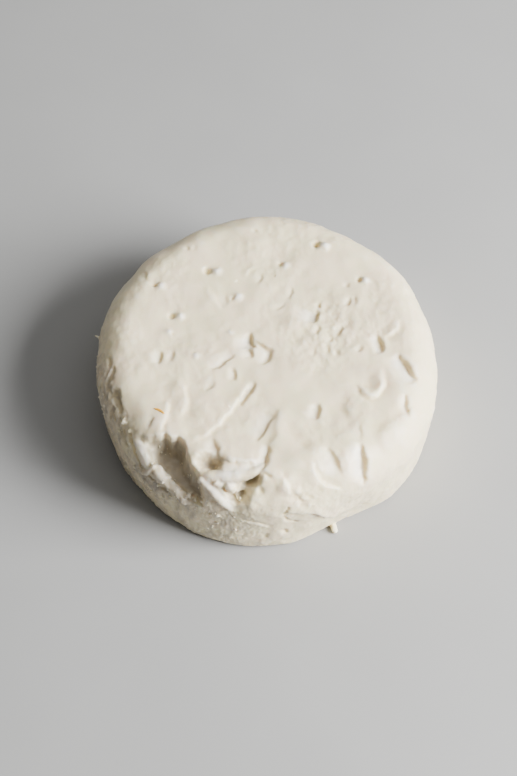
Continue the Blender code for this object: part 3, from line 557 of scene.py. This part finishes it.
# the round as rings: the flat top's grow by six points each, those past it are all equal
def makeRound():
    topRings = round(flatRadius / cheese["meshStep"])
    rings = [(flatRadius * k / topRings, cheese["height"], 6 * k) for k in range(1, topRings + 1)]
    count = 6 * topRings
    shoulderRings = round(cheese["shoulderLength"] / cheese["meshStep"])
    for i in range(1, shoulderRings + 1):
        angle = math.pi / 2 * (1 - i / shoulderRings)
        radius = flatRadius + cheese["shoulderWidth"] * math.cos(angle)
        rings.append((radius, sideHeight + cheese["shoulderDrop"] * math.sin(angle), count))
    sideRings = round(sideHeight / cheese["meshStep"])
    for i in range(1, sideRings + 1):
        z = sideHeight * (1 - i / sideRings)
        rings.append((float(radiusOf(np.array(z))), z, count))
    points = [np.array([[0, 0, cheese["height"]]])]
    starts = [0]
    for radius, z, n in rings:
        angles = 2 * np.pi * np.arange(n) / n
        starts.append(starts[-1] + len(points[-1]))
        points.append(np.stack([radius * np.cos(angles), radius * np.sin(angles), np.full(n, z)], 1))
    points = np.concatenate(points)
    swell = outlineSwell(azimuthOf(points), points[:, 2] / sideHeight)
    reach = np.hypot(points[:, 0], points[:, 1])
    points[:, :2] *= (1 + swell * np.minimum(reach / cheese["radius"], 1) ** 3 / cheese["radius"])[:, None]

    faces = [(0, 1 + i, 1 + (i + 1) % 6) for i in range(6)]
    for k in range(2, topRings + 1):
        inner, outer = starts[k - 1], starts[k]
        for sector in range(6):
            for j in range(k):
                a = outer + (sector * k + j) % (6 * k)
                b = outer + (sector * k + j + 1) % (6 * k)
                c = inner + (sector * (k - 1) + j) % (6 * (k - 1))
                faces.append((a, b, c))
                if j < k - 1:
                    faces.append((c, b, inner + (sector * (k - 1) + j + 1) % (6 * (k - 1))))
    for k in range(topRings, len(rings)):
        upper, lower = starts[k], starts[k + 1]
        faces += [(upper + i, lower + i, lower + (i + 1) % count, upper + (i + 1) % count)
                  for i in range(count)]
    base = starts[len(rings)]
    faces.append(tuple(range(base + count - 1, base - 1, -1)))

    mesh = bpy.data.meshes.new("round")
    mesh.from_pydata(points * mm, [], faces)
    normals = readVectors(mesh, "normals")
    relief = skinRelief(points, normals)[0] * smooth(points[:, 2] / cheese["footFade"])
    points = cutNotch(points + normals * relief[:, None])
    mesh.vertices.foreach_set("co", (points * mm).ravel())
    return addObject("round", mesh)


def readVectors(mesh, name):
    values = np.empty(len(mesh.vertices) * 3, np.float32)
    source, key = (mesh.vertex_normals, "vector") if name == "normals" else (mesh.vertices, "co")
    source.foreach_get(key, values)
    return values.reshape(-1, 3).astype(float)


def addObject(name, mesh):
    made = bpy.data.objects.new(name, mesh)
    bpy.context.scene.collection.objects.link(made)
    return made


def addModifier(body, kind, **settings):
    modifier = body.modifiers.new(kind, kind)
    for name, value in settings.items():
        setattr(modifier, name, value)
    return modifier


# an icosphere cut to blunt facets, bumped and stretched to the lump's radii
def lumpMesh(lump, detail):
    centre, radii, heading, pitch, rough = lump
    draw = random.Random(lumps["seed"] + round(sum(centre) * 10))
    facets = []
    for i in range(lumps["facets"]):
        up = 1 - 2 * (i + 0.5) / lumps["facets"]
        azimuth = math.pi * (3 - math.sqrt(5)) * i + draw.uniform(-0.5, 0.5)
        flat = math.sqrt(1 - up * up)
        reach = draw.uniform(*lumps["facetReach"])
        facets.append((flat * math.cos(azimuth), flat * math.sin(azimuth), up, reach))
    facets = np.array(facets)
    ball = bmesh.new()
    bmesh.ops.create_icosphere(ball, subdivisions=detail, radius=1)
    turn = Matrix.Rotation(math.radians(heading), 4, "Z") @ Matrix.Rotation(math.radians(pitch), 4, "Y")
    place = Matrix.Translation(centre) @ turn @ Matrix.Diagonal((*radii, 1))
    directions = np.array([vertex.co[:] for vertex in ball.verts])
    towards = np.clip(directions @ facets[:, :3].T, 0, None) / facets[:, 3]
    reach = (towards ** lumps["edgeSharpness"]).sum(1) ** (-1 / lumps["edgeSharpness"])
    shift = Vector(centre)
    for vertex, far in zip(ball.verts, reach):
        bumps = noise.noise(vertex.co * 2.2 + shift) + 0.5 * noise.noise(vertex.co * 4.7 + shift)
        vertex.co = place @ (vertex.co * (far + rough * bumps)) * mm
    mesh = bpy.data.meshes.new("lump")
    ball.to_mesh(mesh)
    ball.free()
    return mesh


def tubeMesh(name, rings):  # a closed tube through rings of points
    last, sides = len(rings) - 1, len(rings[0])
    faces = [(k + i, k + (i + 1) % sides, k + sides + (i + 1) % sides, k + sides + i)
             for k in range(0, last * sides, sides) for i in range(sides)]
    faces.append(tuple(range(sides - 1, -1, -1)))
    faces.append(tuple(range(last * sides, (last + 1) * sides)))
    mesh = bpy.data.meshes.new(name)
    mesh.from_pydata(rings.reshape(-1, 3) * mm, [], faces)
    closed = bmesh.new()
    closed.from_mesh(mesh)
    bmesh.ops.triangulate(closed, faces=closed.faces)
    bmesh.ops.recalc_face_normals(closed, faces=closed.faces)
    closed.to_mesh(mesh)
    closed.free()
    return mesh


def rollMesh(line, radii):  # a round tube along a smooth line, its ends drawn together
    points = smoothLine(np.array(line), 6)
    share = np.linspace(0, len(radii) - 1, len(points))
    widths = np.interp(share, np.arange(len(radii)), radii)
    runs = np.gradient(points, axis=0)
    points = np.concatenate([points[:1] - runs[:1] * 0.8, points, points[-1:] + runs[-1:] * 0.8])
    widths = np.concatenate([widths[:1] * 0.5, widths, widths[-1:] * 0.5])
    runs = np.gradient(points, axis=0)
    runs /= np.linalg.norm(runs, axis=1)[:, None]
    across = np.cross(runs, (0, 0, 1))
    across /= np.linalg.norm(across, axis=1)[:, None]
    up = np.cross(across, runs)
    angles = 2 * np.pi * np.arange(lumps["rollSides"]) / lumps["rollSides"]
    rings = points[:, None] + widths[:, None, None] * (
        np.cos(angles)[None, :, None] * across[:, None] + np.sin(angles)[None, :, None] * up[:, None])
    rough = [noiseAt(rings.reshape(-1, 3), 1.6, shift) for shift in (1.7, 5.3, 8.9)]
    return tubeMesh("roll", rings + lumps["rollRoughness"] * np.stack(rough, 1).reshape(rings.shape))


def lipCurds():
    draw = random.Random(lumps["seed"])
    for i in range(lumps["lipCurds"]):
        azimuth = math.radians(draw.uniform(*lumps["lipAzimuths"]))
        z = draw.uniform(*lumps["lipHeights"])
        size = draw.uniform(*lumps["lipSizes"])
        reach = cheese["radius"] + draw.uniform(*lumps["lipReach"])
        centre = (reach * math.cos(azimuth), reach * math.sin(azimuth), z)
        radii = (size * draw.uniform(0.7, 1.3), size, size * draw.uniform(0.8, 1.5))
        yield centre, radii, draw.uniform(0, 360), draw.uniform(-30, 30), 0.15


def addLumps(body):
    meshes = [lumpMesh(lump, 4) for lump in lumps["curds"]] + [lumpMesh(lump, 3) for lump in lipCurds()]
    meshes += [rollMesh(*roll) for roll in rolls]
    helpers = bpy.data.collections.new("lumps")
    bpy.context.scene.collection.children.link(helpers)
    for mesh in meshes:
        helpers.objects.link(bpy.data.objects.new("lump", mesh))
    addModifier(body, "BOOLEAN", operation="UNION", operand_type="COLLECTION", collection=helpers,
                solver="MANIFOLD")
    keepShape(body)
    for helper in list(helpers.objects):
        bpy.data.objects.remove(helper)
    bpy.data.collections.remove(helpers)
    addModifier(body, "REMESH", mode="VOXEL", voxel_size=lumps["voxel"] * mm)
    addModifier(body, "SMOOTH", iterations=lumps["softening"])
    keepShape(body)
    print("round, notch and lumps:", len(body.data.vertices), "points")


def keepShape(body):  # the evaluated shape replaces the mesh and its modifiers
    graph = bpy.context.evaluated_depsgraph_get()
    shape = bpy.data.meshes.new_from_object(body.evaluated_get(graph))
    body.modifiers.clear()
    body.data = shape


# the paste's grain, as relief in the mesh
grain = {
    "Waves": 1.5, "Wave size": 10.0,
    "Ripples": 0.36, "Ripple size": 2.2,
    "Curd": 1.0, "Curd size": 1.9,
    "Crumb": 0.6, "Crumb size": 0.75,
    # patches by their centre and spread, spans by their ends and how fast they fade there
    "crinkled": [(17.0, 4.0, 31.0, 10.0), (9.6, -42.6, 26.0, 4.0)],
    "crumblySide": (150, 276, 40, 22), "crumblyShoulder": (190, 224, 10, 8),
    # the second span of this row is where painted shade darkens the lip curds
    "crumblyLip": (12, 22, 5, 3), "deepLip": (12, 26, 5, 4),
    "patchSize": 18.0,  # of the rippled patches
    "flattened": 0.25,  # the base is flat up to this height
    "crestBlur": 6, "crestGain": 4,  # a crest is what stands out from the blurred shape
    "keptTriangles": 192000,
}


def grainTree():
    graph, given = newTree("pasteGrain", {name: "Float" for name in grain if name[0].isupper()})
    place = graph.add("GeometryNodeInputPosition")
    crumble = graph.attribute("crumble")

    def noiseOf(size, detail, shift, stretch=(1, 1, 1)):
        moved = graph.vector("MULTIPLY_ADD", {0: place, 1: stretch, 2: (shift, 0, 0)})
        return graph.noise(moved, size, detail) - 0.5

    curds = graph.add("ShaderNodeTexVoronoi", {"feature": "SMOOTH_F1"},
                      {"Vector": place, "Scale": 1 / (given["Curd size"] * mm), "Smoothness": 0.25})
    intact = 1 - graph.attribute("broken")
    height = given["Waves"] * noiseOf(given["Wave size"], 1.0, 0.0) * intact
    patches = 0.4 + graph.ramp(noiseOf(grain["patchSize"], 1.0, 6.0), -0.05, 0.12)
    patches = patches + 3.0 * graph.attribute("crinkle")
    ripples = noiseOf(given["Ripple size"], 3.0, 4.0, (1, 0.8, 1)) * patches
    height = height + given["Ripples"] * ripples * intact
    clods = 0.4 * (0.5 - curds) + 1.3 * noiseOf(given["Curd size"] * 1.3, 3.0, 1.0, (1, 1, 0.6))
    height = height + given["Curd"] * crumble * clods
    height = height + given["Crumb"] * crumble * noiseOf(given["Crumb size"], 2.0, 2.0, (1, 1, 0.5)) * 2
    height = height * graph.attribute("free") * mm
    offset = graph.vector("SCALE", {0: graph.add("GeometryNodeInputNormal"), "Scale": height})
    shape = graph.add("GeometryNodeSetPosition", None, {"Geometry": given["Geometry"], "Offset": offset})
    return finishTree(graph, shape, given["Material"])


def setNodes(body, tree, values):
    modifier = addModifier(body, "NODES", node_group=tree)
    for item in tree.interface.items_tree:
        if item.in_out == "INPUT" and item.name in values:
            modifier[item.identifier] = values[item.name]


def setAttributes(mesh, masks):
    for name, values in masks.items():
        layer = mesh.attributes.get(name) or mesh.attributes.new(name, "FLOAT", "POINT")
        layer.data.foreach_set("value", np.asarray(values, np.float32))


def pasteMasks(mesh):  # where the paste is broken, crumbly, or free to move
    points = readVectors(mesh, "co") / mm
    normals = readVectors(mesh, "normals")
    upward, z = normals[:, 2], points[:, 2]
    azimuth = azimuthOf(points)
    depth = depthBelowSkin(points)
    inBreak = span(azimuth, *notch["azimuths"])
    torn = smooth((depth - 1.2) / 1.2) * smooth((z - 8) / 4) * inBreak
    shoulder = 0.8 + 0.14 * span(azimuth, *grain["crumblyShoulder"])
    leftSide = span(azimuth, *grain["crumblySide"]) * smooth((shoulder - upward) / 0.3)
    leftSide *= 1 - 0.8 * inBreak * smooth((z - 19) / 3)
    side = smooth((0.6 - upward) / 0.4)
    lip = inBreak * span(z, *grain["crumblyLip"])
    crumble = np.clip(0.16 * side + 0.38 * leftSide + 0.14 * torn + 0.4 * lip, 0, 1)
    crumble *= 1 - 0.8 * freshFaces(points, normals)
    crinkle = sum(np.exp(-(((points - (x, y, z)) ** 2).sum(1) / spread**2))
                  for x, y, z, spread in grain["crinkled"])
    return {"broken": torn, "crumble": crumble, "crinkle": crinkle, "free": smooth((z - 0.3) / 1.2)}


def grainPaste(body, material):
    setAttributes(body.data, pasteMasks(body.data))
    setNodes(body, grainTree(), {**grain, "Material": material})
    keepShape(body)
    flattenBase(body)
    count = sum(len(polygon.vertices) - 2 for polygon in body.data.polygons)
    if count > grain["keptTriangles"]:
        addModifier(body, "DECIMATE", ratio=grain["keptTriangles"] / count)
        keepShape(body)
    print("paste:", len(body.data.polygons), "faces")


def flattenBase(body):  # one flat face to stand on
    mesh = bmesh.new()
    mesh.from_mesh(body.data)
    for vertex in mesh.verts:
        if vertex.co.z < grain["flattened"] * mm:
            vertex.co.z = 0
    flat = [face for face in mesh.faces if all(vertex.co.z == 0 for vertex in face.verts)]
    bmesh.ops.dissolve_faces(mesh, faces=flat, use_verts=True)
    mesh.to_mesh(body.data)
    mesh.free()


def freshFaces(points, normals):  # the flap, the crest beside the hollow, and the slab left in it, painted paler as a highlight
    fresh = np.zeros(len(points))
    for line, spread in marks["fresh"]:
        near, nearest = besideLine(points, normals, line, 2.5 * spread)[:2]
        raiseTo(fresh, near, np.exp(-((nearest / spread) ** 2)))
    return fresh


def colourMasks(mesh):  # where painted shade turns the material golden or dark, and painted highlight turns it pale
    points = readVectors(mesh, "co") / mm
    normals = readVectors(mesh, "normals")
    goldenShade, hollow, facets = skinRelief(points, normals)[1:]
    depth = depthBelowSkin(points)
    z = points[:, 2]
    # painted shade, golden, in walls, creases and holes
    goldenShade = goldenShade * smooth((z - 2) / 3)
    # painted shade on the lip curds
    lip = span(azimuthOf(points), *notch["azimuths"]) * span(z, *grain["deepLip"])
    edges = np.empty(len(mesh.edges) * 2, np.int64)
    mesh.edges.foreach_get("vertices", edges)
    edges = edges.reshape(-1, 2)
    ends = np.concatenate([edges, edges[:, ::-1]])
    links = np.bincount(ends[:, 0], minlength=len(points))
    blurred = points.copy()
    for step in range(grain["crestBlur"]):
        sums = [np.bincount(ends[:, 0], blurred[ends[:, 1], i], len(points)) for i in range(3)]
        blurred = 0.5 * blurred + 0.5 * np.stack(sums, 1) / links[:, None]
    # painted paler where it stands out (painted highlight), golden where it sinks in (painted shade)
    crest = ((points - blurred) * normals).sum(1)
    # painted shade: darker the deeper a place lies below the intact skin
    deep = smooth((depth - 0.6) / 2.6) * smooth((z - 14) / 4)
    fresh = freshFaces(points, normals)
    setAttributes(mesh, {
        "goldenShade": np.clip(goldenShade, 0, 1),
        "deep": np.maximum.reduce([deep, hollow, 0.7 * lip]) * (1 - 0.8 * fresh),
        "crest": np.clip(0.5 + crest * grain["crestGain"], 0, 1),
        "crumble": pasteMasks(mesh)["crumble"],
        "fresh": np.maximum(fresh, facets),
    })


# loose crumbs that stick to the broken side
crumbs = {
    "Density": 0.32,  # to a square millimetre
    "Smallest": 0.16, "Largest": 0.5, "Seed": 11,
    # where they lie: the ends of their spans, how fast they fade there, and the size of their clusters
    "azimuths": (150, 268, 50, 16), "heights": (3, 27, 8, 3), "clusters": 4.0,
    "bumps": 1.1, "bumpHeight": 1.6,  # bumps to a millimetre, on a crumb before it is scaled
    "leastShape": (0.6, 0.6, 0.4), "mostShape": (1.4, 1.2, 1.0),
    # crest at 0.7 paints the crumbs a little paler: painted highlight
    "colour": {"goldenShade": 0, "deep": 0, "crumble": 0, "fresh": 0, "crest": 0.7},
}

# a thin peel-coloured shaving on top
shaving = {
    "ends": [(-28.5, -20.5), (-25.6, -22.4)],
    "halfWidth": 0.34, "thickness": 0.24, "bow": 0.3,
    "raised": 0.3, "blunt": 0.02,  # shares of its thickness and its length
    "sides": 10, "rings": 9,
    "colours": [(0.80, 0.36, 0.01, 1), (0.86, 0.48, 0.03, 1)],
    "mottleSize": 1.2, "roughness": 0.5,
}


def crumbTree():
    graph, given = newTree("crumbs", {
        "Density": "Float", "Smallest": "Float", "Largest": "Float", "Seed": "Int"})
    density = graph.attribute("crumby") * given["Density"] / (mm * mm)
    points = graph.add("GeometryNodeDistributePointsOnFaces", None, {
        "Mesh": given["Geometry"], "Density": density, "Seed": given["Seed"]})
    crumb = graph.add("GeometryNodeMeshIcoSphere", None, {"Radius": mm, "Subdivisions": 2})
    place = graph.add("GeometryNodeInputPosition")
    lumpy = graph.add("ShaderNodeTexNoise", None, {
        "Vector": place, "Scale": crumbs["bumps"] / mm, "Detail": 1.0}, output=1)
    lumpy = graph.vector("SUBTRACT", {0: lumpy, 1: (0.5, 0.5, 0.5)})
    lumpy = graph.vector("SCALE", {0: lumpy, "Scale": crumbs["bumpHeight"] * mm})
    crumb = graph.add("GeometryNodeSetPosition", None, {"Geometry": crumb, "Offset": lumpy})

    def draw(least, most, seed):  # a random vector for each crumb
        return graph.add("FunctionNodeRandomValue", {"data_type": "FLOAT_VECTOR"},
                         {"Min": least, "Max": most, "Seed": seed})

    turn = draw((0, 0, 0), (math.tau, math.tau, math.tau), given["Seed"])
    size = graph.add("FunctionNodeRandomValue", {"data_type": "FLOAT"},
                     {2: 0.0, 3: 1.0, "Seed": given["Seed"] + 1}, output=1)
    size = given["Smallest"] + (given["Largest"] - given["Smallest"]) * size**3
    shape = draw(crumbs["leastShape"], crumbs["mostShape"], given["Seed"] + 2)
    size = graph.vector("SCALE", {0: shape, "Scale": size})
    made = graph.add("GeometryNodeInstanceOnPoints", None, {
        "Points": points, "Instance": crumb, "Rotation": turn, "Scale": size})
    return finishTree(graph, made, given["Material"])


def addCrumbs(body, material):
    made = addObject("crumbs", body.data.copy())
    points = readVectors(made.data, "co") / mm
    band = span(azimuthOf(points), *crumbs["azimuths"]) * span(points[:, 2], *crumbs["heights"])
    setAttributes(made.data, {"crumby": band**2 * smooth(noiseAt(points, crumbs["clusters"], 3.3) + 0.5)})
    setNodes(made, crumbTree(), {**crumbs, "Material": material})
    keepShape(made)
    count = len(made.data.vertices)
    setAttributes(made.data, {name: np.full(count, value) for name, value in crumbs["colour"].items()})
    print("crumbs:", len(made.data.polygons), "faces")
    return made


def addShaving(body):
    (x0, y0), (x1, y1) = shaving["ends"]
    run = Vector((x1 - x0, y1 - y0, 0)).normalized()
    across, up = Vector((-run.y, run.x, 0)), Vector((0, 0, 1))
    rings = []
    for share in np.linspace(0, 1, shaving["rings"]):
        above = Vector((x0 + (x1 - x0) * share, y0 + (y1 - y0) * share, 2 * cheese["height"]))
        middle = body.ray_cast(above * mm, -up)[1] / mm + up * shaving["raised"] * shaving["thickness"]
        middle += across * shaving["bow"] * math.sin(3 * share)
        full = math.sqrt(max(1 - (2 * share - 1) ** 2, shaving["blunt"]))
        angles = [math.tau * i / shaving["sides"] for i in range(shaving["sides"])]
        rings.append([middle + across * shaving["halfWidth"] * full * math.cos(angle)
                      + up * shaving["thickness"] * 0.5 * full * math.sin(angle) for angle in angles])
    return addObject("shaving", tubeMesh("shaving", np.array(rings)))


# colours and surface of the paste
paste = {
    "cream": (0.87, 0.75, 0.50, 1),
    "pinkish": (0.90, 0.74, 0.53, 1),
    "greenish": (0.83, 0.76, 0.48, 1),
    # painted shade: the warm tone of walls, creases and holes in shade
    "goldenShade": (0.76, 0.62, 0.28, 1),
    # painted shade: the dark colour for the notch, deep crevices, pitted band and lip, also used for the
    # side's streaks
    "deep": (0.41, 0.355, 0.275, 1),
    # painted highlight: the pale colour of crests, lit facets and the fresh faces
    "pale": (0.93, 0.88, 0.78, 1),
    "roughness": 0.42, "refraction": 1.42,
    "subsurface": 0.42, "scatter": (2.1, 1.7, 1.1),
    "mottleSizes": (9.0, 2.5), "streakSize": 2.6, "smearSize": 3.0,
    "fineSize": 0.5, "fineHeight": 0.12, "fineStrength": 0.25,
}


def pasteMaterial():
    material, graph, place = newMaterial("freshPaste")
    broad, small = paste["mottleSizes"]
    mottle = graph.noise(place, broad, 3.0) * 0.6 + graph.noise(place, small, 2.0) * 0.4
    colour = graph.blend(graph.ramp(mottle, 0.35, 0.65), paste["greenish"], paste["pinkish"])
    colour = graph.blend(0.4, colour, paste["cream"])
    crest = graph.attribute("crest")
    # painted highlight: paler where the surface stands out
    colour = graph.blend(graph.ramp(crest, 0.55, 0.95) * 0.4, colour, paste["pale"])
    # painted shade: golden where the surface sinks in
    colour = graph.blend(graph.ramp(crest, 0.45, 0.05) * 0.35, colour, paste["goldenShade"])
    fresh = graph.attribute("fresh")
    # painted highlight: the fresh faces and the slopes facing the light are paler; they are also glossier
    colour = graph.blend(fresh * 0.8, colour, paste["pale"])
    # painted shade, golden, on the marks' walls, creases and holes
    colour = graph.blend(graph.attribute("goldenShade") * 0.6, colour, paste["goldenShade"])
    # darker streaks on the crumbly side: partly the paste's own mottling, partly painted shade on the
    # shaded left side
    streaks = graph.ramp(graph.noise(place, paste["streakSize"], 3.0, (1, 1, 0.45)), 0.38, 0.68)
    colour = graph.blend(streaks * graph.attribute("crumble") * 1.3, colour, paste["deep"])
    # painted shade, dark, in the notch, deep crevices, the pitted band and the lip
    colour = graph.blend(graph.attribute("deep") * 0.75, colour, paste["deep"])
    fine = graph.noise(place, paste["fineSize"], 3.0)
    rough = paste["roughness"] + 0.25 * (graph.noise(place, paste["smearSize"]) - 0.5) - 0.12 * fresh
    bump = graph.add("ShaderNodeBump", None, {
        "Strength": paste["fineStrength"], "Distance": paste["fineHeight"] * mm, "Height": fine})
    finishMaterial(graph, {
        "Base Color": colour, "Roughness": rough, "Normal": bump,
        "Subsurface Weight": paste["subsurface"], "Subsurface Radius": paste["scatter"],
        "Subsurface Scale": mm, "IOR": paste["refraction"],
    })
    return material


def shavingMaterial():
    material, graph, place = newMaterial("peel")
    colour = graph.blend(graph.noise(place, shaving["mottleSize"]), *shaving["colours"])
    finishMaterial(graph, {"Base Color": colour, "Roughness": shaving["roughness"]})
    return material


# floor, light and camera
studio = {
    "floor": (0.31, 0.31, 0.305), "floorRoughness": 0.7, "floorSize": 60000,
    "patchSize": 40, "patchGain": 1.04,  # the floor's slightly paler patches
    # azimuth, elevation, distance, width, height, power
    "lights": {"window": (-15, 29, 700, 360, 500, 25.0), "ceiling": (0, 80, 800, 700, 700, 2.0)},
    "sky": (1.0, 0.99, 0.97, 1), "skyStrength": 0.14,
    "cameraElevation": 59, "cameraDistance": 400,
    "middle": 15,  # the height that the camera circles about
    "shift": (-2.13, -4.09),  # how far to the right of it, and above it, the camera looks
    "focal": 1486, "picture": (517, 776),  # in pixels
    "nearest": 10,
}


def direction(azimuth, elevation):
    azimuth, elevation = math.radians(azimuth), math.radians(elevation)
    level = math.cos(elevation)
    return Vector((level * math.cos(azimuth), level * math.sin(azimuth), math.sin(elevation)))


def addStudio():
    bpy.ops.mesh.primitive_plane_add(size=studio["floorSize"] * mm)
    floor = bpy.context.object
    floor.name = "floor"
    material, graph, place = newMaterial("floor")
    shade = graph.ramp(graph.noise(place, studio["patchSize"]), 0.3, 0.7)
    pale = [c * studio["patchGain"] for c in studio["floor"]]
    colour = graph.blend(shade, (*studio["floor"], 1), (*pale, 1))
    finishMaterial(graph, {"Base Color": colour, "Roughness": studio["floorRoughness"]})
    floor.data.materials.append(material)

    middle = Vector((0, 0, cheese["height"] / 2)) * mm
    for name, (azimuth, elevation, distance, width, height, power) in studio["lights"].items():
        towards = direction(azimuth, elevation)
        light = bpy.data.lights.new(name, "AREA")
        light.shape = "RECTANGLE"
        light.size, light.size_y = width * mm, height * mm
        light.energy = power
        lamp = addObject(name, light)
        lamp.location = middle + towards * distance * mm
        lamp.rotation_euler = towards.to_track_quat("Z", "Y").to_euler()

    world = bpy.data.worlds.new("sky")
    world.use_nodes = True
    sky = world.node_tree.nodes["Background"]
    sky.inputs["Color"].default_value = studio["sky"]
    sky.inputs["Strength"].default_value = studio["skyStrength"]
    bpy.context.scene.world = world


def addCamera():
    lens = bpy.data.cameras.new("camera")
    lens.lens = studio["focal"] / max(studio["picture"]) * lens.sensor_width
    lens.clip_start = studio["nearest"] * mm
    middle = Vector((0, 0, studio["middle"]))
    right, high = studio["shift"]
    place = middle + direction(-90, studio["cameraElevation"]) * studio["cameraDistance"]
    aim = middle + Vector((right, 0, 0)) + direction(90, 90 - studio["cameraElevation"]) * high
    camera = addObject("camera", lens)
    camera.location = place * mm
    camera.rotation_euler = (place - aim).to_track_quat("Z", "Y").to_euler()
    bpy.context.scene.camera = camera


def main():
    addCamera()
    addStudio()
    material = pasteMaterial()
    body = makeRound()
    addLumps(body)
    grainPaste(body, material)
    colourMasks(body.data)
    body.name = "freshCheese"
    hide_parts("cheese")
    loose = addCrumbs(body, material)
    peel = addShaving(body)
    peel.data.materials.append(shavingMaterial())
    for piece in (body, loose, peel):
        piece.data.shade_smooth()
        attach(piece, "root")


main()
